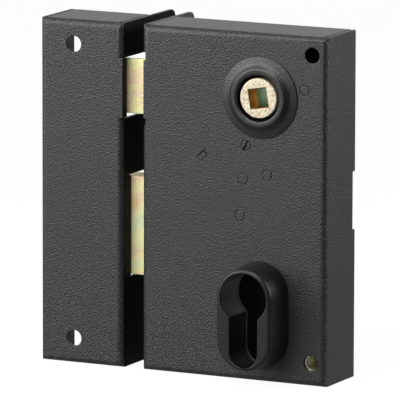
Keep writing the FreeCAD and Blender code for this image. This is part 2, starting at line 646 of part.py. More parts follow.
def rivet_places_bolt():
    """Two rivets that join the deadbolt to its tail."""
    x = EDGE + SHEET + 2.2 * POST_RADIUS
    return ((x, BOLT_TAIL_TOP - 2.5 * POST_RADIUS), (x, BOLT_TAIL_FOOT + 2.5 * POST_RADIUS))


def deadbolt_tail():
    """Plate with the guide slot, two detent notches and the notch that the cylinder's cam drives."""
    left = EDGE + TAIL_LEFT
    notch_x = -BOLT_THROW / 2
    half = CAM_NOTCH_WIDTH / 2
    lead = 2.0
    roof = BOLT_TAIL_FOOT + CAM_NOTCH_DEPTH
    nib_x = detent_nib()[0]
    outline = [(left, BOLT_TAIL_TOP)]
    for x in (nib_x - BOLT_THROW, nib_x):
        outline += [(x - NOTCH_HALF, BOLT_TAIL_TOP), (x, BOLT_TAIL_TOP - DETENT_DEPTH),
                    (x + NOTCH_HALF, BOLT_TAIL_TOP)]
    outline += [
        (BOLT_TAIL_RIGHT, BOLT_TAIL_TOP), (BOLT_TAIL_RIGHT, BOLT_TAIL_FOOT),
        (notch_x + half + lead, BOLT_TAIL_FOOT), (notch_x + half, BOLT_TAIL_FOOT + lead),
        (notch_x + half, roof), (notch_x - half, roof), (notch_x - half, BOLT_TAIL_FOOT + lead),
        (notch_x - half - lead, BOLT_TAIL_FOOT), (left, BOLT_TAIL_FOOT),
    ]
    tail = plate(outline, BOLT_TAIL_FACE, BOLT_FACE)
    reach = SHOULDER_RADIUS + GUIDE_CLEARANCE
    x, z = LEVER_POST
    cuts = [slot(x - BOLT_THROW, x, z, BOLT_TAIL_FACE - 1, BOLT_FACE + 1, reach)]
    cuts += [rod(px, pz, BOLT_TAIL_FACE - 1, BOLT_FACE + 1, POST_RADIUS) for px, pz in rivet_places_bolt()]
    return tail.cut(cuts)


def detent_nib():
    """Lowest point of the detent wire's centre line, in the thrown notch."""
    return NIB_X, BOLT_TAIL_TOP - DETENT_DEPTH + DETENT_WIRE * 1.45


def detent_spring():
    """Hairpin wire under its post: one leg in the tail's notch, the other against the spring post."""
    y = (BOLT_TAIL_FACE + BOLT_FACE) / 2
    nib_x, nib_z = detent_nib()
    px, pz = DETENT_POST
    under = pz - POST_RADIUS - DETENT_WIRE - 0.1
    right = px + POST_RADIUS + DETENT_WIRE + 0.1
    rest_x = SPRING_POST[0] + POST_RADIUS + DETENT_WIRE + 0.1
    points = [(nib_x - NIB_RUN, nib_z + NIB_RUN), (nib_x, nib_z), (px - 1.0, under), (px + 1.0, under),
              (right, pz - 1.0), (right, pz + 1.0), (rest_x, SPRING_POST[1] + 0.6)]
    corners = [FreeCAD.Vector(x, y, z) for x, z in points]
    return wire_form([Part.makeLine(a, b) for a, b in zip(corners, corners[1:])], DETENT_WIRE)


def keeper_box():
    """Folded keeper with its lip, two fixing holes, and windows for the latch and the deadbolt."""
    wall_x = KEEPER_RIGHT - SHEET
    tray = folded_tray(KEEPER_LEFT, KEEPER_RIGHT).fuse(wall_lip(wall_x, KEEPER_LIP))
    x0, x1 = wall_x - BEND_RADIUS, KEEPER_RIGHT + 1
    gap = KEEPER_CLEARANCE
    latch_low, latch_top = LATCH_LOW - 1.7 * gap, LATCH_TOP + gap
    window = box(x0, x1, FRONT - 1, -KEEPER_WINDOW_BACK, latch_low, latch_top)
    tongue = box(x0, KEEPER_RIGHT, FRONT, INNER_FRONT, latch_low, latch_top)
    bolt_window = box(x0, x1, FRONT + BOLT_WINDOW_FRONT, -KEEPER_WINDOW_BACK, BOLT_LOW - gap,
                      BOLT_TOP + gap)
    holes = [rod(KEEPER_LEFT + KEEPER_HOLE_FROM_SIDE, z, FRONT - 1, INNER_FRONT + 1, KEEPER_HOLE_RADIUS)
             for z in (FOOT + KEEPER_HOLE_FROM_FOOT, TOP - KEEPER_HOLE_FROM_TOP)]
    tray = tray.cut([window, bolt_window] + holes + lip_holes(wall_x, KEEPER_LIP))
    return tray.fuse(tongue).removeSplitter()


NODES = {
    "lock_case": lock_case,
    "back_cover": back_cover,
    "cover_screws": cover_screws,
    "cylinder_collar": cylinder_collar,
    "follower_rose": follower_rose,
    "follower": follower,
    "follower_spring": follower_spring,
    "spring_centre_post": spring_centre_post,
    "cover_post": cover_post,
    "lever_pivot_post": lever_pivot_post,
    "latch_guide_post": latch_guide_post,
    "latch_spring_post": latch_spring_post,
    "detent_post": detent_post,
    "fixing_tube": fixing_tube,
    "latch_bolt": latch_bolt,
    "latch_tail": latch_tail,
    "latch_rivets": lambda: rivets(rivet_places_latch(), TAIL_FRONT, LATCH_REAR),
    "lever_drive_pin": lever_drive_pin,
    "latch_lever": latch_lever,
    "latch_spring": latch_spring,
    "deadbolt": deadbolt,
    "deadbolt_tail": deadbolt_tail,
    "deadbolt_rivets": lambda: rivets(rivet_places_bolt(), BOLT_TAIL_FACE, BOLT_REAR),
    "detent_spring": detent_spring,
    "keeper_box": keeper_box,
}

os.makedirs("parts", exist_ok=True)
for node, make in NODES.items():
    shape = make()
    shape.exportStep("parts/" + node + ".step")
    print(node, len(shape.Solids), "solids", round(shape.Volume, 1), "mm3", shape.isValid())
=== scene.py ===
"""Looks of a rim lock and its keeper box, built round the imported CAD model.

Pieces are in metres in the frame of the CAD model: X from the keeper to the lock, Y from the front
face to the mounting plane at Y = 0, Z up, with the spindle axis at the origin.
"""
import json
import math

import bmesh
import bpy
import numpy as np
from mathutils import Matrix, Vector
from mathutils.bvhtree import BVHTree

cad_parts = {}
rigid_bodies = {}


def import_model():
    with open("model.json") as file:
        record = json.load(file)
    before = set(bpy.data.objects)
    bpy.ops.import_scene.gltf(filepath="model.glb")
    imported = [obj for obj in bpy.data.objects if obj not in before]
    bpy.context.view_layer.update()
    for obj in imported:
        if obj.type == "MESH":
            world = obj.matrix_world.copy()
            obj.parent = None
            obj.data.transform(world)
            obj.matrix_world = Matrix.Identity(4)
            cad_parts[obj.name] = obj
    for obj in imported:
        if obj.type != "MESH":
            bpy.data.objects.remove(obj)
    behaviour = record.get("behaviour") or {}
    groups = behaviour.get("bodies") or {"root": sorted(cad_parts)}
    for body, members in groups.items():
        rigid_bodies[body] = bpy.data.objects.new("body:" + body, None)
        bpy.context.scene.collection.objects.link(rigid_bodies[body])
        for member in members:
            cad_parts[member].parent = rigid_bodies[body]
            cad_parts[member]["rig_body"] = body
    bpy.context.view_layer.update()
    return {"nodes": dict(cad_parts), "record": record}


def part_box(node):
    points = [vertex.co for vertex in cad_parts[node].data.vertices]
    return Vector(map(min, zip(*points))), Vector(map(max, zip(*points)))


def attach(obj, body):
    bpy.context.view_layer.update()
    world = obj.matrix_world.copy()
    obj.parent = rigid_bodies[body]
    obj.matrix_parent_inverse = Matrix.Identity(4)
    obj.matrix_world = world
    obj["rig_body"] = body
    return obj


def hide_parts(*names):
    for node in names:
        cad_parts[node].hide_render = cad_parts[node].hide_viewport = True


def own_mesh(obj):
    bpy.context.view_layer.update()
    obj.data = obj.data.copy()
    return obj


bl_info = {
    "name": "Rim lock",
    "version": (1, 0, 0),
    "blender": (4, 5, 0),
    "location": "View3D > Sidebar > Rim lock",
    "description": "Surfaces, finishes and studio of a black rim lock with its keeper box",
    "category": "Object",
}

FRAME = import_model()
MM = 0.001
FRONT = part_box("lock_case")[0].y
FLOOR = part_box("lock_case")[0].z


def linear(hex_colour):
    """An sRGB hex value such as "#c8b480" as three linear numbers: each channel c is c / 12.92
    below 0.04045, and otherwise ((c + 0.055) / 1.055) to the power 2.4."""
    srgb = np.array([int(hex_colour[i:i + 2], 16) for i in (1, 3, 5)]) / 255
    return tuple(np.where(srgb < 0.04045, srgb / 12.92, ((srgb + 0.055) / 1.055) ** 2.4))


# Settings that a user would change

class RimLockSizes(bpy.types.PropertyGroup):
    """Radii of the edges and widths of the patterns"""
    sheet_edge: bpy.props.FloatProperty(
        name="Sheet edge", description="Radius on the cut edges of the powder-coated sheet",
        default=0.3 * MM, min=0, unit="LENGTH")
    bolt_edge: bpy.props.FloatProperty(
        name="Bolt edge", description="Radius on the edges of the zinc-plated pieces",
        default=0.25 * MM, min=0, unit="LENGTH")
    stake_edge: bpy.props.FloatProperty(
        name="Stake edge", description="Radius round the ends of the staked posts",
        default=0.22 * MM, min=0, unit="LENGTH")
    collar_edge: bpy.props.FloatProperty(
        name="Collar edge", description="Radius on the rims of the cylinder collar",
        default=0.35 * MM, min=0, unit="LENGTH")
    powder_grain: bpy.props.FloatProperty(
        name="Powder grain", description="Spacing of the pimples in the powder coat",
        default=0.6 * MM, min=0.1 * MM, unit="LENGTH")
    passivate_patch: bpy.props.FloatProperty(
        name="Passivate patch", description="Width of a colour patch in the yellow passivate",
        default=9 * MM, min=1 * MM, unit="LENGTH")


class RimLockColours(bpy.types.PropertyGroup):
    """Main colours of the paints, the plate and the floor"""
    powder: bpy.props.FloatVectorProperty(
        name="Powder coat", description="Colour of the powder coat", subtype="COLOR",
        default=linear("#19191a"), min=0, max=1)
    casting: bpy.props.FloatVectorProperty(
        name="Painted casting", description="Colour of the painted zinc castings", subtype="COLOR",
        default=linear("#111112"), min=0, max=1)
    passivate: bpy.props.FloatVectorProperty(
        name="Yellow passivate", description="Main colour of the passivated zinc plate",
        subtype="COLOR", default=linear("#fff3b4"), min=0, max=1)
    floor: bpy.props.FloatVectorProperty(
        name="Floor", description="Colour of the studio floor", subtype="COLOR",
        default=linear("#ffffff"), min=0, max=1)


# Surfaces worked out with numpy

def unit(vectors):
    """Each vector divided by its length."""
    return vectors / np.linalg.norm(vectors, axis=-1, keepdims=True)


def rounded(corners, radii, steps=6, closed=True):
    """Path through corners with an arc in each. With half the angle between a corner's two runs, an
    arc of radius r starts r / tan(half) from the corner, its centre lies r / sin(half) along the
    bisector, and its points are the spherical mean of the two directions from centre to arc end."""
    points = np.array(corners, float)
    before = unit(np.roll(points, 1, 0) - points)
    after = unit(np.roll(points, -1, 0) - points)
    half = np.arccos(np.clip((before * after).sum(1), -1, 1)) / 2
    radius = np.broadcast_to(np.maximum(np.array(radii, float), 1e-7), half.shape)[:, None]
    centre = points + unit(before + after) * radius / np.sin(half)[:, None]
    setback = radius / np.tan(half)[:, None]
    first = unit(points + before * setback - centre)[:, None]
    last = unit(points + after * setback - centre)[:, None]
    turn = (math.pi - 2 * half)[:, None, None]
    share = np.linspace(0, 1, steps)[None, :, None]
    arcs = (np.sin((1 - share) * turn) * first + np.sin(share * turn) * last) / np.sin(turn)
    path = centre[:, None] + radius[:, None] * arcs
    if not closed:
        path[0] = points[0]
        path[-1] = points[-1]
        path = path.reshape(-1, points.shape[1])
        return path[steps - 1:len(path) - steps + 1]
    return path.reshape(-1, points.shape[1])


def mesh_object(name, points, faces):
    """Mesh object at the origin from an array of points and a list of faces."""
    mesh = bpy.data.meshes.new(name)
    mesh.from_pydata(points, [], faces)
    mesh.shade_smooth()
    piece = bpy.data.objects.new(name, mesh)
    bpy.context.scene.collection.objects.link(piece)
    return piece


def sheet_faces(rows, columns, wrap_rows, wrap_columns):
    """Four-sided faces between neighbours on a grid of points, numbered row by row."""
    last_row = rows if wrap_rows else rows - 1
    last_column = columns if wrap_columns else columns - 1
    row, column = np.meshgrid(np.arange(last_row), np.arange(last_column), indexing="ij")
    next_row, next_column = (row + 1) % rows, (column + 1) % columns
    corners = [row * columns + column, row * columns + next_column,
               next_row * columns + next_column, next_row * columns + column]
    return np.stack(corners, -1).reshape(-1, 4)


def surface(name, grid, wrap_rows=True, wrap_columns=True, capped=False):
    """Piece from a grid of points (rows, columns, 3); capped closes its first and last row with a
    fan round the row's mean, and the faces are then made to point outwards."""
    rows, columns = grid.shape[:2]
    points = grid.reshape(-1, 3)
    faces = sheet_faces(rows, columns, wrap_rows, wrap_columns).tolist()
    if capped:
        around = np.arange(columns)
        for row in (0, rows - 1):
            middle = np.full(columns, len(points))
            ring = row * columns + around
            points = np.vstack([points, grid[row].mean(0)])
            faces += np.stack([ring, np.roll(ring, -1), middle], -1).tolist()
    piece = mesh_object(name, points, faces)
    bm = bmesh.new()
    bm.from_mesh(piece.data)
    bmesh.ops.remove_doubles(bm, verts=bm.verts, dist=1e-7)
    bmesh.ops.recalc_face_normals(bm, faces=bm.faces)
    bm.to_mesh(piece.data)
    bm.free()
    piece.data.shade_smooth()
    return piece


def turned(name, profile, centre, steps=128):
    """Closed profile of (radius, y) turned about an axis along Y through centre (x, z): each point
    is (x + radius cos t, y, z + radius sin t) for t round the circle."""
    profile = np.asarray(profile)
    angle = np.linspace(0, 2 * math.pi, steps, endpoint=False)
    radius, y = profile[:, :1], profile[:, 1:]
    grid = np.stack([centre[0] + radius * np.cos(angle), y + 0 * angle,
                     centre[1] + radius * np.sin(angle)], -1)
    return surface(name, grid)


def wire(name, path, radius, axis, sides=12):
    """Round wire along a path: at each point the section is radius times (cos t along the axis made
    square to the path, sin t along their cross product)."""
    path = np.asarray(path)
    tangent = unit(np.gradient(path, axis=0))
    axis = np.asarray(axis, float)
    up = unit(axis - tangent * (tangent @ axis)[:, None])
    side = np.cross(tangent, up)
    angle = np.linspace(0, 2 * math.pi, sides, endpoint=False)[None, :, None]
    grid = path[:, None] + radius * (np.cos(angle) * up[:, None] + np.sin(angle) * side[:, None])
    return surface(name, grid, wrap_rows=False, capped=True)


def square_lining():
    """Thin film on the walls of the square hole: a square of half width h, turned about Y, carried
    from the mouth to the back, once at h less the film's gap and once at h less its thickness."""
    half, turn = 3.675 * MM, math.radians(9.5)
    mouth, back = FRONT - 1.55 * MM, -0.35 * MM
    rings = []
    for inset, y in ((0.12, mouth), (0.12, back), (0.02, back), (0.02, mouth)):
        reach = half - inset * MM
        corners = [(reach, reach), (-reach, reach), (-reach, -reach), (reach, -reach)]
        across, up = rounded(corners, 0.3 * MM, 5).T
        rings.append(np.stack([across * math.cos(turn) - up * math.sin(turn), 0 * across + y,
                               across * math.sin(turn) + up * math.cos(turn)], -1))
    return surface("square_lining", np.array(rings))


def window_lips():
    """Two strips that narrow the windows of the keeper's wall from the front, each a box whose
    corners are every choice of its low or high X, Y and Z. X keeps 0.02 mm inside the wall."""
    wall = (-55.98, -54.52)
    latch_lip = (wall, (-22.5, -20.7), (-11.15, 9.95))
    deadbolt_lip = (wall, (-19.2, -17.4), (-69.35, -32.75))
    corners = [np.stack(np.meshgrid(*spans, indexing="ij"), -1).reshape(-1, 3)
               for spans in (latch_lip, deadbolt_lip)]
    sides = np.array([[0, 1, 3, 2], [4, 6, 7, 5], [0, 4, 5, 1], [2, 3, 7, 6], [0, 2, 6, 4],
                      [1, 5, 7, 3]])
    faces = np.concatenate([sides, sides + len(corners[0])]).tolist()
    lips = mesh_object("window_lips", np.concatenate(corners) * MM, faces)
    lips.data.shade_flat()
    return lips


FLAT_ANGLE = math.radians(0.5)  # faces that lean less than this to each other are made one
SHARP_ANGLE = math.radians(35)  # edges that turn more than this are rounded
THROWN_CLEAR = 0.6  # share of the rounding's width: no true round lies farther from the part


def softened(node, width, segments=2):
    """Copy of a CAD node with its loose triangles merged, its flat areas made whole and its sharp
    edges rounded. A corner that the rounding throws clear of the part, by more than a true round
    could, is brought back to the nearest point of the part."""
    source = FRAME["nodes"][node]
    mesh = bpy.data.meshes.new(node + "_soft")
    bm = bmesh.new()
    bm.from_mesh(source.data)
    bmesh.ops.remove_doubles(bm, verts=bm.verts, dist=1e-6)
    part = BVHTree.FromBMesh(bm)
    bmesh.ops.dissolve_limit(bm, angle_limit=FLAT_ANGLE, verts=bm.verts, edges=bm.edges)
    bmesh.ops.triangulate(bm, faces=bm.faces, ngon_method="BEAUTY")
    bm.to_mesh(mesh)
    bm.free()
    piece = bpy.data.objects.new(node + "_soft", mesh)
    bpy.context.scene.collection.objects.link(piece)
    bevel = piece.modifiers.new("edge", "BEVEL")
    bevel.width = width
    bevel.segments = segments
    bevel.limit_method = "ANGLE"
    bevel.angle_limit = SHARP_ANGLE
    bevel.loop_slide = False
    bevel.use_clamp_overlap = False
    rounded_piece = piece.evaluated_get(bpy.context.evaluated_depsgraph_get())
    piece.data = bpy.data.meshes.new_from_object(rounded_piece)
    piece.modifiers.clear()
    for vertex in piece.data.vertices:
        nearest, _, _, gap = part.find_nearest(vertex.co)
        if gap > THROWN_CLEAR * width:
            vertex.co = nearest
    piece.data.shade_smooth()
    flats = piece.modifiers.new("flats", "WEIGHTED_NORMAL")
    flats.weight = 100
    return piece


def latch_coil():
    """Compression spring: a helix about an axis along X, x running evenly from end to end while the
    section's centre goes round, (y, z) = (y0 + r cos t, z0 + r sin t)."""
    low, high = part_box("latch_spring")
    wire_radius, radius = 0.3 * MM, 2.1 * MM
    turns, points_a_turn = 6, 48
    turn = np.linspace(0, 2 * turns * math.pi, turns * points_a_turn + 1)
    middle_y, middle_z = -12.9 * MM, -22.5 * MM
    x = np.linspace(low.x + wire_radius, high.x - wire_radius, len(turn))
    path = np.stack([x, middle_y + radius * np.cos(turn), middle_z + radius * np.sin(turn)], -1)
    return wire("latch_coil", path, wire_radius, (1, 0, 0))


def follower_hairpin():
    """Hairpin spring: a leg along the arm, most of a circle round the hub, and a second leg, all at
    one depth. The arm leans from straight down towards the keeper."""
    lean = math.radians(17.8)
    ring, leg, foot, y = 8.3 * MM, 2.7 * MM, 20.54 * MM, -20 * MM
    start = math.asin(leg / ring)
    turn = np.linspace(start, 2 * math.pi - start, 97)
    reach = np.concatenate([[foot, 0.8 * foot], ring * np.cos(turn), [0.8 * foot, foot]])
    aside = np.concatenate([[-leg, -leg], -ring * np.sin(turn), [leg, leg]])
    path = np.stack([-reach * math.sin(lean) + aside * math.cos(lean), 0 * reach + y,
                     -reach * math.cos(lean) - aside * math.sin(lean)], -1)
    return wire("follower_hairpin", path, 0.55 * MM, (0, 1, 0))


def detent_wire():
    """Bent wire through its corners in one plane, each bend an arc."""
    corners = np.array([(-16.5, -36.65), (-14.5, -38.65), (-7.84, -32.15), (-5.84, -32.15),
                        (-4.29, -30.6), (-4.29, -28.6), (-3.11, -17.05)]) * MM
    flat = rounded(corners, [0, 0.5 * MM, 1.2 * MM, 0.9 * MM, 0.9 * MM, 2 * MM, 0], 8, closed=False)
    path = np.insert(flat, 1, -17.95 * MM, axis=1)
    return wire("detent_wire", path, 0.45 * MM, (0, 1, 0))


# Finishes

def add(tree, kind, inputs=None, **settings):
    """Node of a kind, with its settings, and with each named input set to a value or linked."""
    node = tree.nodes.new(kind)
    for key, value in settings.items():
        setattr(node, key, value)
    for key, value in (inputs or {}).items():
        if isinstance(value, bpy.types.NodeSocket):
            tree.links.new(value, node.inputs[key])
        else:
            node.inputs[key].default_value = value
    return node


def blank(name):
    """New material with an empty node tree and its output node."""
    material = bpy.data.materials.new(name)
    material.use_nodes = True
    material.node_tree.nodes.clear()
    output = add(material.node_tree, "ShaderNodeOutputMaterial")
    return material, material.node_tree, output


WHITE = (1, 1, 1, 1)


def opaque(colour):
    """Colour with full alpha."""
    return (*colour[:3], 1.0)


def black_paint(name, colour, spread, grain, relief, roughness, ior):
    """Black paint with a fine skin: a noise as wide as the grain swings the colour between
    1 - spread and 1 + spread of itself and lifts the skin by the relief. The real grain is about
    0.3 mm wide, and the setting is coarser so that it shows."""
    material, tree, output = blank(name)
    place = add(tree, "ShaderNodeTexCoord").outputs["Object"]
    skin = add(tree, "ShaderNodeTexNoise", {
        "Vector": place, "Scale": 1 / grain, "Detail": 2.0, "Roughness": 0.6})
    tone = add(tree, "ShaderNodeMapRange", {
        "Value": skin.outputs["Fac"], "From Min": 0.36, "From Max": 0.64})
    mixed = add(tree, "ShaderNodeMix", {
        "Factor": tone.outputs["Result"], "A": opaque([(1 - spread) * c for c in colour]),
        "B": opaque([(1 + spread) * c for c in colour])}, data_type="RGBA")
    bump = add(tree, "ShaderNodeBump", {
        "Height": skin.outputs["Fac"], "Strength": 1.0, "Distance": relief})
    shader = add(tree, "ShaderNodeBsdfPrincipled", {
        "Base Color": mixed.outputs["Result"], "Roughness": roughness, "IOR": ior,
        "Normal": bump.outputs["Normal"], "Metallic": 0.0})
    tree.links.new(shader.outputs["BSDF"], output.inputs["Surface"])
    return material


def powder_coated_steel(colours, sizes):
    """Polyester powder baked on folded steel sheet: a deep neutral black, satin, whose orange-peel
    skin breaks every reflection into a fine light and dark grain."""
    return black_paint("powder_coated_steel", colours.powder, 0.75, sizes.powder_grain, 0.32 * MM,
                       0.42, 1.55)


def painted_zinc_casting(colours, sizes):
    """Pressure-cast zinc with a thinner coat of the same black: smoother than the sheet, so its
    rims catch the light in a fine line."""
    return black_paint("painted_zinc_casting", colours.casting, 0.5, sizes.powder_grain, 0.16 * MM,
                       0.4, 1.55)


def brushed_black_casting(colours, sizes):
    """The same casting with its coat brushed on by hand: duller, so less light comes off its
    sides."""
    return black_paint("brushed_black_casting", colours.casting, 0.5, sizes.powder_grain, 0.1 * MM,
                       0.4, 1.42)


def painted_shade_black(colours, sizes):
    """Near-black paint with hardly a shine, laid on as painted shade: on the walls of holes, slots
    and gaps of the black parts where shade falls.
    """
    # Painted shade: the casting's colour at 0.3 of its strength.
    dark = [0.3 * c for c in colours.casting]
    return black_paint("painted_shade_black", dark, 0.5, sizes.powder_grain, 0.05 * MM, 0.6, 1.2)


def ramp_of(tree, factor, stops):
    """Colour ramp through (position, colour) stops."""
    ramp = add(tree, "ShaderNodeValToRGB", {"Fac": factor})
    while len(ramp.color_ramp.elements) < len(stops):
        ramp.color_ramp.elements.new(0.5)
    for element, (position, colour) in zip(ramp.color_ramp.elements, stops):
        element.position = position
        element.color = opaque(colour)
    return ramp.outputs["Color"]


def yellow_passivated_zinc(colours, sizes):
    """Barrel-plated zinc with a yellow chromate passivate: a thin, faintly milky film whose
    thickness wanders, so cream turns to straw, rose and pale green in soft patches, pitted finely.
    The real pits are about 0.1 mm wide, and are drawn 0.45 mm wide so that they show."""
    material, tree, output = blank("yellow_passivated_zinc")
    place = add(tree, "ShaderNodeTexCoord").outputs["Object"]
    film = add(tree, "ShaderNodeTexNoise", {
        "Vector": place, "Scale": 1 / sizes.passivate_patch, "Detail": 2.0, "Distortion": 0.6})
    colour = ramp_of(tree, film.outputs["Fac"], (
        (0.30, linear("#f8dc86")), (0.42, linear("#fde2c0")), (0.50, colours.passivate),
        (0.58, linear("#fbf5b6")), (0.70, linear("#e6f0c4"))))
    pits = add(tree, "ShaderNodeTexNoise", {
        "Vector": place, "Scale": 1 / (0.45 * MM), "Detail": 2.0})
    speck = add(tree, "ShaderNodeMapRange", {
        "Value": pits.outputs["Fac"], "From Min": 0.36, "From Max": 0.46, "To Min": 0.8})
    plated = add(tree, "ShaderNodeMix", {
        "Factor": 1.0, "A": colour, "B": speck.outputs["Result"]},
        data_type="RGBA", blend_type="MULTIPLY")
    bump = add(tree, "ShaderNodeBump", {
        "Height": pits.outputs["Fac"], "Strength": 0.5, "Distance": 0.02 * MM})
    shader = add(tree, "ShaderNodeBsdfPrincipled", {
        "Base Color": plated.outputs["Result"], "Metallic": 0.42, "Roughness": 0.45,
        "Normal": bump.outputs["Normal"]})
    tree.links.new(shader.outputs["BSDF"], output.inputs["Surface"])
    return material


def passivated_tube_with_painted_light(colours, sizes):
    """Steel tube drawn bright, plated and passivated, with light and shade painted into its colour:
    pale at the mouth, a near-white band a little deeper as painted highlight, olive gold further
    in, and dark brown deepest in and darker along its lower side as painted shade."""
    material, tree, output = blank("passivated_tube_with_painted_light")
    place = add(tree, "ShaderNodeTexCoord").outputs["Object"]
    ways = add(tree, "ShaderNodeSeparateXYZ", {"Vector": place})
    depth = add(tree, "ShaderNodeMapRange", {
        "Value": ways.outputs["Y"], "From Min": FRONT, "From Max": FRONT + 13 * MM})
    # Painted highlight and shade by depth: the near-white band and the dark brown far end stand for
    # light and shade inside the tube.
    colour = ramp_of(tree, depth.outputs["Result"], (
        (0.0, linear("#dcd9b4")), (0.3, linear("#fffff0")), (0.5, linear("#fffdb8")),
        (0.66, linear("#d6ce60")), (0.82, linear("#6a5c20"))))
    # Painted shade: the tube's lower side darker, down to 0.35 of the colour.
    low = add(tree, "ShaderNodeMapRange", {
        "Value": ways.outputs["Z"], "From Min": -96.5 * MM, "From Max": -94 * MM, "To Min": 0.35})
    painted_shade_colour = add(tree, "ShaderNodeMix", {"Factor": 1.0, "A": colour, "B": low.outputs["Result"]},
               data_type="RGBA", blend_type="MULTIPLY")
    shader = add(tree, "ShaderNodeBsdfPrincipled", {
        "Base Color": painted_shade_colour.outputs["Result"], "Metallic": 0.5, "Roughness": 0.18})
    tree.links.new(shader.outputs["BSDF"], output.inputs["Surface"])
    return material


def tumbled_passivate(colours, sizes):
    """The same plate on a cast and tumbled part: its nose is paler, duller and speckled with brown
    where the film is rubbed, in specks of about 0.7 mm."""
    material, tree, output = blank("tumbled_passivate")
    place = add(tree, "ShaderNodeTexCoord").outputs["Object"]
    specks = add(tree, "ShaderNodeTexNoise", {
        "Vector": place, "Scale": 1 / (0.7 * MM), "Detail": 3.0, "Roughness": 0.7})
    colour = ramp_of(tree, specks.outputs["Fac"], (
        (0.34, linear("#8d7350")), (0.44, linear("#b5a88c")), (0.52, linear("#c3b9a3")),
        (0.66, linear("#cfc8b8"))))
    bump = add(tree, "ShaderNodeBump", {
        "Height": specks.outputs["Fac"], "Strength": 1.0, "Distance": 0.05 * MM})
    shader = add(tree, "ShaderNodeBsdfPrincipled", {
        "Base Color": colour, "Metallic": 0.35, "Roughness": 0.5, "Normal": bump.outputs["Normal"]})
    tree.links.new(shader.outputs["BSDF"], output.inputs["Surface"])
    return material


def thick_passivate_and_shade(colours, sizes):
    """The same passivate where the bath stood in the spindle hole: a thick film that goes from
    burnt orange at the mouth through olive to blue-green further in, with clouds of 1.6 mm. Its
    lower side is darker as painted shade."""
    material, tree, output = blank("thick_passivate_and_shade")
    place = add(tree, "ShaderNodeTexCoord").outputs["Object"]
    ways = add(tree, "ShaderNodeSeparateXYZ", {"Vector": place})
    cloud = add(tree, "ShaderNodeTexNoise", {
        "Vector": place, "Scale": 1 / (1.6 * MM), "Detail": 3.0})
    drift = add(tree, "ShaderNodeMapRange", {
        "Value": cloud.outputs["Fac"], "To Min": -2.5 * MM, "To Max": 2.5 * MM})
    inward = add(tree, "ShaderNodeMath", {0: ways.outputs["Y"], 1: drift.outputs["Result"]})
    depth = add(tree, "ShaderNodeMapRange", {
        "Value": inward.outputs["Value"], "From Min": FRONT - 1.7 * MM,
        "From Max": FRONT + 15 * MM})
    colour = ramp_of(tree, depth.outputs["Result"], (
        (0.0, linear("#6a6426")), (0.08, linear("#b3873a")), (0.27, linear("#cb9853")),
        (0.40, linear("#b3ad74")), (0.52, linear("#cdf3e2")), (0.85, linear("#d6e2c2"))))
    # Painted shade: the lower walls of the square hole darker, down to 0.45 of the colour.
    low = add(tree, "ShaderNodeMapRange", {
        "Value": ways.outputs["Z"], "From Min": -4 * MM, "From Max": -1 * MM, "To Min": 0.45})
    shaded = add(tree, "ShaderNodeMix", {"Factor": 1.0, "A": colour, "B": low.outputs["Result"]},
                 data_type="RGBA", blend_type="MULTIPLY")
    shader = add(tree, "ShaderNodeBsdfPrincipled", {
        "Base Color": shaded.outputs["Result"], "Metallic": 0.8, "Roughness": 0.35})
    tree.links.new(shader.outputs["BSDF"], output.inputs["Surface"])
    return material


def bright_zinc_plate(colours, sizes):
    """Blue-white zinc plate on cold-rolled sheet: a grey metal with faint rolling lines, drawn
    0.4 mm apart so that they show."""
    material, tree, output = blank("bright_zinc_plate")
    place = add(tree, "ShaderNodeTexCoord").outputs["Object"]
    along = add(tree, "ShaderNodeMapping", {"Vector": place, "Scale": (1, 1, 0.04)})
    lines = add(tree, "ShaderNodeTexNoise", {
        "Vector": along.outputs["Vector"], "Scale": 1 / (0.4 * MM), "Detail": 3.0})
    rough = add(tree, "ShaderNodeMapRange", {
        "Value": lines.outputs["Fac"], "To Min": 0.3, "To Max": 0.5})
    bump = add(tree, "ShaderNodeBump", {
        "Height": lines.outputs["Fac"], "Strength": 0.1, "Distance": 0.01 * MM})
    shader = add(tree, "ShaderNodeBsdfPrincipled", {
        "Base Color": opaque(linear("#c3c6c9")), "Metallic": 1.0,
        "Roughness": rough.outputs["Result"], "Normal": bump.outputs["Normal"]})
    tree.links.new(shader.outputs["BSDF"], output.inputs["Surface"])
    return material


def drawn_spring_wire(colours, sizes):
    """Oiled, hard-drawn spring steel: dark grey with a soft, uneven shine."""
    material, tree, output = blank("drawn_spring_wire")
    place = add(tree, "ShaderNodeTexCoord").outputs["Object"]
    draw = add(tree, "ShaderNodeTexNoise", {
        "Vector": place, "Scale": 1 / (0.6 * MM), "Detail": 2.0})
    rough = add(tree, "ShaderNodeMapRange", {
        "Value": draw.outputs["Fac"], "To Min": 0.28, "To Max": 0.45})
    shader = add(tree, "ShaderNodeBsdfPrincipled", {
        "Base Color": opaque(linear("#8b8c8f")), "Metallic": 1.0,
        "Roughness": rough.outputs["Result"]})
    tree.links.new(shader.outputs["BSDF"], output.inputs["Surface"])
    return material


def mirrored(tree, rays):
    """1 for a ray that glossy or clear things send out, and 0 for any other."""
    shiny = add(tree, "ShaderNodeMath", {
        0: rays.outputs["Is Glossy Ray"], 1: rays.outputs["Is Transmission Ray"]},
        operation="MAXIMUM")
    return shiny.outputs["Value"]


def front_right(tree, ways):
    """How far a place or heading lies to the front right: 2 X - Y."""
    aside = add(tree, "ShaderNodeMath", {0: ways.outputs["X"], 1: 2.0}, operation="MULTIPLY")
    forward = add(tree, "ShaderNodeMath", {0: aside.outputs["Value"], 1: ways.outputs["Y"]},
                  operation="SUBTRACT")
    return forward.outputs["Value"]


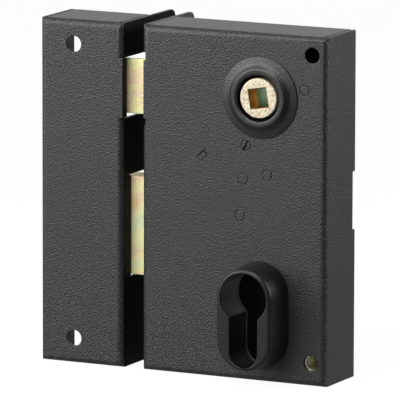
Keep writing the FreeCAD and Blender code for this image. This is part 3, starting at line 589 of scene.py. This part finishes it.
def studio_floor(colours, sizes):
    """Matt white paper. The camera sees it near white with a pale shadow, glossy and clear things
    see a grey sheet that goes dark to the front right, and diffuse light bounces off it as off
    paper."""
    material, tree, output = blank("studio_floor")
    rays = add(tree, "ShaderNodeLightPath")
    paper = add(tree, "ShaderNodeBsdfDiffuse", {"Color": opaque(colours.floor)})
    white = add(tree, "ShaderNodeEmission", {"Color": WHITE, "Strength": 1.0})
    lift = add(tree, "ShaderNodeMath", {0: rays.outputs["Is Camera Ray"], 1: 0.95},
               operation="MULTIPLY")
    seen = add(tree, "ShaderNodeMixShader", {
        "Fac": lift.outputs["Value"], 1: paper.outputs["BSDF"], 2: white.outputs["Emission"]})
    place = add(tree, "ShaderNodeTexCoord").outputs["Object"]
    ways = add(tree, "ShaderNodeSeparateXYZ", {"Vector": place})
    dim = add(tree, "ShaderNodeMapRange", {
        "Value": front_right(tree, ways), "From Min": 0.05, "From Max": 0.25, "To Min": 0.3,
        "To Max": 0.02})
    sheet = add(tree, "ShaderNodeEmission", {"Color": WHITE, "Strength": dim.outputs["Result"]})
    mixed = add(tree, "ShaderNodeMixShader", {
        "Fac": mirrored(tree, rays), 1: seen.outputs["Shader"], 2: sheet.outputs["Emission"]})
    tree.links.new(mixed.outputs["Shader"], output.inputs["Surface"])
    return material


def studio_surround():
    """World: white to the camera and an even fill for diffuse light. For glossy and clear things it
    is white at the left, falls to grey at the right, and goes dark overhead and to the front
    right."""
    world = bpy.data.worlds.new("studio_surround")
    world.use_nodes = True
    tree = world.node_tree
    tree.nodes.clear()
    rays = add(tree, "ShaderNodeLightPath")
    heading = add(tree, "ShaderNodeTexCoord").outputs["Generated"]
    ways = add(tree, "ShaderNodeSeparateXYZ", {"Vector": heading})
    side = add(tree, "ShaderNodeMapRange", {
        "Value": ways.outputs["X"], "From Min": -0.6, "From Max": 0.6, "To Min": 1.1,
        "To Max": 0.25})
    overhead = add(tree, "ShaderNodeMapRange", {
        "Value": ways.outputs["Z"], "From Min": 0.6, "From Max": 0.85, "To Min": 1.0,
        "To Max": 0.25})
    corner = add(tree, "ShaderNodeMapRange", {
        "Value": front_right(tree, ways), "From Min": 0.8, "From Max": 1.8, "To Min": 1.0,
        "To Max": 0.1})
    dark = add(tree, "ShaderNodeMath", {
        0: overhead.outputs["Result"], 1: corner.outputs["Result"]}, operation="MULTIPLY")
    seen = add(tree, "ShaderNodeMath", {
        0: side.outputs["Result"], 1: dark.outputs["Value"]}, operation="MULTIPLY")
    fill = add(tree, "ShaderNodeMix", {
        "Factor": mirrored(tree, rays), "A": 0.3, "B": seen.outputs["Value"]}, data_type="FLOAT")
    strength = add(tree, "ShaderNodeMix", {
        "Factor": rays.outputs["Is Camera Ray"], "A": fill.outputs["Result"], "B": 1.0},
        data_type="FLOAT")
    light = add(tree, "ShaderNodeBackground", {
        "Color": WHITE, "Strength": strength.outputs["Result"]})
    output = add(tree, "ShaderNodeOutputWorld")
    tree.links.new(light.outputs["Background"], output.inputs["Surface"])
    return world


# Finish of each slot of the record
FINISHES = {
    "powder_black": powder_coated_steel,
    "cast_black": painted_zinc_casting,
    "yellow_zinc": yellow_passivated_zinc,
    "plain_zinc": bright_zinc_plate,
    "spring_steel": drawn_spring_wire,
}


def finish(maker):
    """The finish that a function makes, made once."""
    settings = bpy.context.scene
    made = bpy.data.materials.get(maker.__name__)
    return made or maker(settings.rim_lock_colours, settings.rim_lock_sizes)


def body_of(node):
    """CAD body that a node rides on."""
    return FRAME["nodes"][node]["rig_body"]


def slot_of(node):
    """Material slot that the record gives a node."""
    rows = FRAME["record"]["subparts"]
    return next(row["material_slot"] for row in rows if row["node"] == node)


def settle(piece, name, node):
    """Names a new piece, gives it the finish of its node's slot and its node's body, and hides the
    node."""
    piece.name = name
    piece.data.name = name
    piece.data.materials.clear()
    piece.data.materials.append(finish(FINISHES[slot_of(node)]))
    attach(piece, body_of(node))
    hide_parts(node)
    return piece


def beside(piece, name, node, material):
    """Names a piece that is added to a node, and gives it a finish and the node's body."""
    piece.name = name
    piece.data.name = name
    piece.data.materials.append(material)
    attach(piece, body_of(node))
    return piece


def face_places(piece):
    """Middles and normals of a piece's faces."""
    faces = piece.data.polygons
    middles, normals = np.empty(3 * len(faces)), np.empty(3 * len(faces))
    faces.foreach_get("center", middles)
    faces.foreach_get("normal", normals)
    return middles.reshape(-1, 3), normals.reshape(-1, 3)


def within(middles, axis, radius, start):
    """Which places lie within a radius of an axis along Y through (x, z), and deeper than a
    start."""
    off_axis = np.hypot(middles[:, 0] - axis[0], middles[:, 2] - axis[1])
    return (off_axis < radius) & (middles[:, 1] > start)


def recoat(piece, chosen, maker):
    """Gives the chosen faces of a piece the finish that a function makes."""
    piece.data.materials.append(finish(maker))
    piece.data.polygons.foreach_set("material_index", chosen.astype(np.int32))


def dress(node):
    """Gives a CAD node that stays as it is the finish of its slot."""
    mesh = FRAME["nodes"][node].data
    mesh.materials.clear()
    mesh.materials.append(finish(FINISHES[slot_of(node)]))


# Lamps of the studio: name, degrees to the right of the front, degrees up, watts. Each is a square
# at one distance from the middle of the lock.
LAMPS = (
    ("key", -50, 30, 2.4),
    ("low_left", -50, 10, 1.2),
    ("low_front", -30, 5, 0.45),
    ("high_front", -10, 35, 2.2),
    ("high_right", 15, 60, 2.2),
    ("rim", 118, 20, 3.6),
)
LAMP_WIDTH, LAMP_DISTANCE = 0.25, 0.75
LAMPS_AIM = np.array([-30, -12, -40]) * MM

# The camera, fitted to the photograph: where it looks from (degrees to the right of the front and
# up, and its roll), what it looks at, and its focal length in pixels of the square picture
CAMERA_HEADING, CAMERA_ROLL = (26.595, 9.774), 0.122
CAMERA_AIM, CAMERA_DISTANCE = np.array([-28.63, -14.03, -40.35]) * MM, 2338.15 * MM
FOCAL_PIXELS, PICTURE_PIXELS, SENSOR_WIDTH = 6556.67, 400, 36
FLOOR_REACH = 4.0

# Axes (x, z) of the fixing holes in the case front
FIXING_HOLES = ((20.2 * MM, 16.3 * MM), (20.2 * MM, -93.7 * MM))


# One operator for each piece or group of like pieces

class RIMLOCK_OT_boxes(bpy.types.Operator):
    """Rounds the cut edges of the folded case and keeper, powder-coats them, and paints the walls
    of the fixing holes, the keeper's strike wall and the lips of its windows near black as painted
    shade"""
    bl_idname = "rimlock.boxes"
    bl_label = "Folded boxes"

    def execute(self, context):
        edge = context.scene.rim_lock_sizes.sheet_edge
        case = settle(softened("lock_case", edge), "folded_case", "lock_case")
        middles, _ = face_places(case)
        rim, sheet_back, hole_radius = FRONT + 0.3 * MM, FRONT + 2 * MM, 2.9 * MM
        # Painted shade: the walls of the fixing holes through the front sheet are painted near
        # black.
        bores = np.any([within(middles, axis, hole_radius, rim) for axis in FIXING_HOLES], 0)
        recoat(case, bores & (middles[:, 1] < sheet_back), painted_shade_black)

        keeper = settle(softened("keeper_box", edge), "folded_keeper", "keeper_box")
        middles, normals = face_places(keeper)
        strike_wall = -56 * MM
        # Painted shade: the keeper's wall that faces the lock across the gap is painted near black.
        strike = (normals[:, 0] > 0.9) & (middles[:, 0] > strike_wall)
        recoat(keeper, strike, painted_shade_black)
        # Painted shade: the strips that narrow the keeper's windows take the near-black finish.
        beside(window_lips(), "window_lips", "keeper_box", finish(painted_shade_black))
        return {"FINISHED"}


class RIMLOCK_OT_rose(bpy.types.Operator):
    """Turns the volcano-shaped rose round the follower, and paints the inside of its mouth near
    black as painted shade
    """
    bl_idname = "rimlock.rose"
    bl_label = "Rose"

    def execute(self, context):
        low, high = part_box("follower_rose")
        base = (high.x - low.x) / 2
        top, back = low.y, high.y
        mouth, crest, bore, spigot = 8.25 * MM, 9.3 * MM, 7.13 * MM, 8.9 * MM
        floor = FRONT + 0.9 * MM
        outline = [
            (bore, back), (spigot, back), (spigot, FRONT), (base, FRONT), (base, FRONT - 0.4 * MM),
            (crest + 2.6 * MM, FRONT - 0.95 * MM), (crest + 0.9 * MM, top), (mouth, top),
            (mouth, floor), (bore, floor)]
        radii = np.array([0.1, 0.1, 0.02, 0.05, 0.15, 3.5, 0.95, 0.85, 0.2, 0.1]) * MM
        rose = turned("rose", rounded(outline, radii, 10), (0, 0))
        settle(rose, "rose", "follower_rose")
        middles, _ = face_places(rose)
        # Painted shade: the mouth's wall, its floor and the bore are painted near black.
        recoat(rose, within(middles, (0, 0), mouth + 0.2 * MM, top + 0.9 * MM), painted_shade_black)
        return {"FINISHED"}


class RIMLOCK_OT_collar(bpy.types.Operator):
    """Rounds the cylinder collar's rim, paints it, and paints the walls of the slot below its round
    hole near black as painted shade
    """
    bl_idname = "rimlock.collar"
    bl_label = "Cylinder collar"

    def execute(self, context):
        edge = context.scene.rim_lock_sizes.collar_edge
        collar = settle(softened("cylinder_collar", edge, 3), "collar", "cylinder_collar")
        collar.data.materials[0] = finish(brushed_black_casting)
        middles, normals = face_places(collar)
        half_width, half_height, middle_z, mouth = 5.5 * MM, 9.5 * MM, -86 * MM, -36.2 * MM
        slot = np.abs(middles[:, 0]) < half_width
        slot &= np.abs(middles[:, 2] - middle_z) < half_height
        slot &= (middles[:, 1] > mouth) & (np.abs(normals[:, 1]) < 0.5)
        # Painted shade: the walls of the slot below the round hole are painted near black.
        recoat(collar, slot, painted_shade_black)
        return {"FINISHED"}


class RIMLOCK_OT_follower(bpy.types.Operator):
    """Rounds the follower's edges, plates it and lines its square hole with passivate"""
    bl_idname = "rimlock.follower"
    bl_label = "Follower"

    def execute(self, context):
        nose_edge = 0.12 * MM
        hub = settle(softened("follower", nose_edge), "follower_hub", "follower")
        hub.data.materials[0] = finish(tumbled_passivate)
        beside(square_lining(), "square_lining", "follower", finish(thick_passivate_and_shade))
        return {"FINISHED"}


class RIMLOCK_OT_bolts(bpy.types.Operator):
    """Rounds and plates the latch, the deadbolt and what is riveted to them"""
    bl_idname = "rimlock.bolts"
    bl_label = "Bolts"

    def execute(self, context):
        edge = context.scene.rim_lock_sizes.bolt_edge
        for node, name in (("latch_bolt", "latch_head"), ("deadbolt", "deadbolt_bar"),
                           ("latch_tail", "latch_plate"), ("deadbolt_tail", "deadbolt_plate"),
                           ("latch_lever", "lever_plate")):
            settle(softened(node, edge), name, node)
        for node in ("latch_rivets", "deadbolt_rivets", "lever_drive_pin"):
            dress(node)
        return {"FINISHED"}


class RIMLOCK_OT_cover(bpy.types.Operator):
    """Rounds and plates the back cover, its screws and the spacer tube"""
    bl_idname = "rimlock.cover"
    bl_label = "Back cover"

    def execute(self, context):
        punched_edge, tube_edge = 0.15 * MM, 0.2 * MM
        settle(softened("back_cover", punched_edge), "cover_plate", "back_cover")
        dress("cover_screws")
        tube = settle(softened("fixing_tube", tube_edge), "spacer_tube", "fixing_tube")
        tube.data.materials[0] = finish(passivated_tube_with_painted_light)
        return {"FINISHED"}


class RIMLOCK_OT_posts(bpy.types.Operator):
    """Rounds the posts staked through the case front, and paints the latch spring post's rim near
    black as painted shade in the groove round its end
    """
    bl_idname = "rimlock.posts"
    bl_label = "Staked posts"

    def execute(self, context):
        edge = context.scene.rim_lock_sizes.stake_edge
        for node in sorted(FRAME["nodes"]):
            if node.endswith("_post"):
                stake = settle(softened(node, edge), node.replace("_post", "_stake"), node)
                if node == "latch_spring_post":
                    middles, normals = face_places(stake)
                    rim_depth = FRONT + 0.6 * MM
                    rim = (np.abs(normals[:, 1]) < 0.97) & (middles[:, 1] < rim_depth)
                    # Painted shade: the rim of the latch spring post's end, in the groove round it,
                    # is painted near black.
                    recoat(stake, rim, painted_shade_black)
        return {"FINISHED"}


class RIMLOCK_OT_springs(bpy.types.Operator):
    """Winds the latch spring, which the latch squashes, and bends the two wire springs"""
    bl_idname = "rimlock.springs"
    bl_label = "Springs"

    def execute(self, context):
        coil = settle(latch_coil(), "latch_spring_wire", "latch_spring")
        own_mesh(coil)
        settle(follower_hairpin(), "follower_spring_wire", "follower_spring")
        settle(detent_wire(), "detent_spring_wire", "detent_spring")
        return {"FINISHED"}


class RIMLOCK_OT_stage(bpy.types.Operator):
    """Sets the floor, the soft lamps, the white surround and the camera"""
    bl_idname = "rimlock.stage"
    bl_label = "Studio"

    def execute(self, context):
        scene = context.scene
        reach = FLOOR_REACH
        corners = np.array([[-reach, -reach, FLOOR], [reach, -reach, FLOOR], [reach, reach, FLOOR],
                            [-reach, reach, FLOOR]])
        floor = mesh_object("floor", corners, [[0, 1, 2, 3]])
        floor.data.materials.append(finish(studio_floor))

        scene.world = studio_surround()
        for name, azimuth, elevation, power in LAMPS:
            lamp = bpy.data.lights.new(name, "AREA")
            lamp.shape = "SQUARE"
            lamp.size = LAMP_WIDTH
            lamp.energy = power
            holder = bpy.data.objects.new(name, lamp)
            scene.collection.objects.link(holder)
            back = towards(azimuth, elevation)
            holder.matrix_world = aimed(LAMPS_AIM + LAMP_DISTANCE * back, back)

        lens = bpy.data.cameras.new("camera")
        lens.sensor_width = SENSOR_WIDTH
        lens.lens = SENSOR_WIDTH * FOCAL_PIXELS / PICTURE_PIXELS
        lens.clip_start, lens.clip_end = 0.1, 20
        camera = bpy.data.objects.new("camera", lens)
        scene.collection.objects.link(camera)
        back = towards(*CAMERA_HEADING)
        roll = Matrix.Rotation(math.radians(CAMERA_ROLL), 4, "Z")
        camera.matrix_world = aimed(CAMERA_AIM + back * CAMERA_DISTANCE, back) @ roll
        scene.camera = camera
        scene.view_settings.view_transform = "Standard"
        return {"FINISHED"}


def towards(azimuth, elevation):
    """Direction from the lock to a lamp or camera, from degrees to the right of the front and up:
    (sin turn cos rise, -cos turn cos rise, sin rise)."""
    turn, rise = math.radians(azimuth), math.radians(elevation)
    level = math.cos(rise)
    return np.array([math.sin(turn) * level, -math.cos(turn) * level, math.sin(rise)])


def aimed(place, back):
    """Matrix of a lamp or camera at a place, looking against back, with its right side level: right
    is Z cross back, and up is back cross right."""
    right = unit(np.cross((0, 0, 1), back))
    up = np.cross(back, right)
    matrix = Matrix.Identity(4)
    for row in range(3):
        matrix[row][:] = right[row], up[row], back[row], place[row]
    return matrix


class RIMLOCK_PT_panel(bpy.types.Panel):
    """Settings and operators of the rim lock, in the 3D view's sidebar"""
    bl_idname = "RIMLOCK_PT_panel"
    bl_label = "Rim lock"
    bl_space_type = "VIEW_3D"
    bl_region_type = "UI"
    bl_category = "Rim lock"

    def draw(self, context):
        for group in (context.scene.rim_lock_sizes, context.scene.rim_lock_colours):
            for key in group.__annotations__:
                self.layout.prop(group, key)
        for operator in OPERATORS:
            self.layout.operator(operator.bl_idname)


OPERATORS = (RIMLOCK_OT_boxes, RIMLOCK_OT_rose, RIMLOCK_OT_collar, RIMLOCK_OT_follower,
             RIMLOCK_OT_bolts, RIMLOCK_OT_cover, RIMLOCK_OT_posts, RIMLOCK_OT_springs,
             RIMLOCK_OT_stage)
CLASSES = (RimLockSizes, RimLockColours, *OPERATORS, RIMLOCK_PT_panel)


def register():
    """Registers the classes and ties the settings to the scene."""
    for cls in CLASSES:
        bpy.utils.register_class(cls)
    bpy.types.Scene.rim_lock_sizes = bpy.props.PointerProperty(type=RimLockSizes)
    bpy.types.Scene.rim_lock_colours = bpy.props.PointerProperty(type=RimLockColours)


def unregister():
    """Undoes register."""
    del bpy.types.Scene.rim_lock_colours
    del bpy.types.Scene.rim_lock_sizes
    for cls in reversed(CLASSES):
        bpy.utils.unregister_class(cls)


def main():
    """Registers the classes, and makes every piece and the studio."""
    register()
    for operator in OPERATORS:
        family, action = operator.bl_idname.split(".")
        getattr(getattr(bpy.ops, family), action)()


if __name__ == "__main__":
    main()
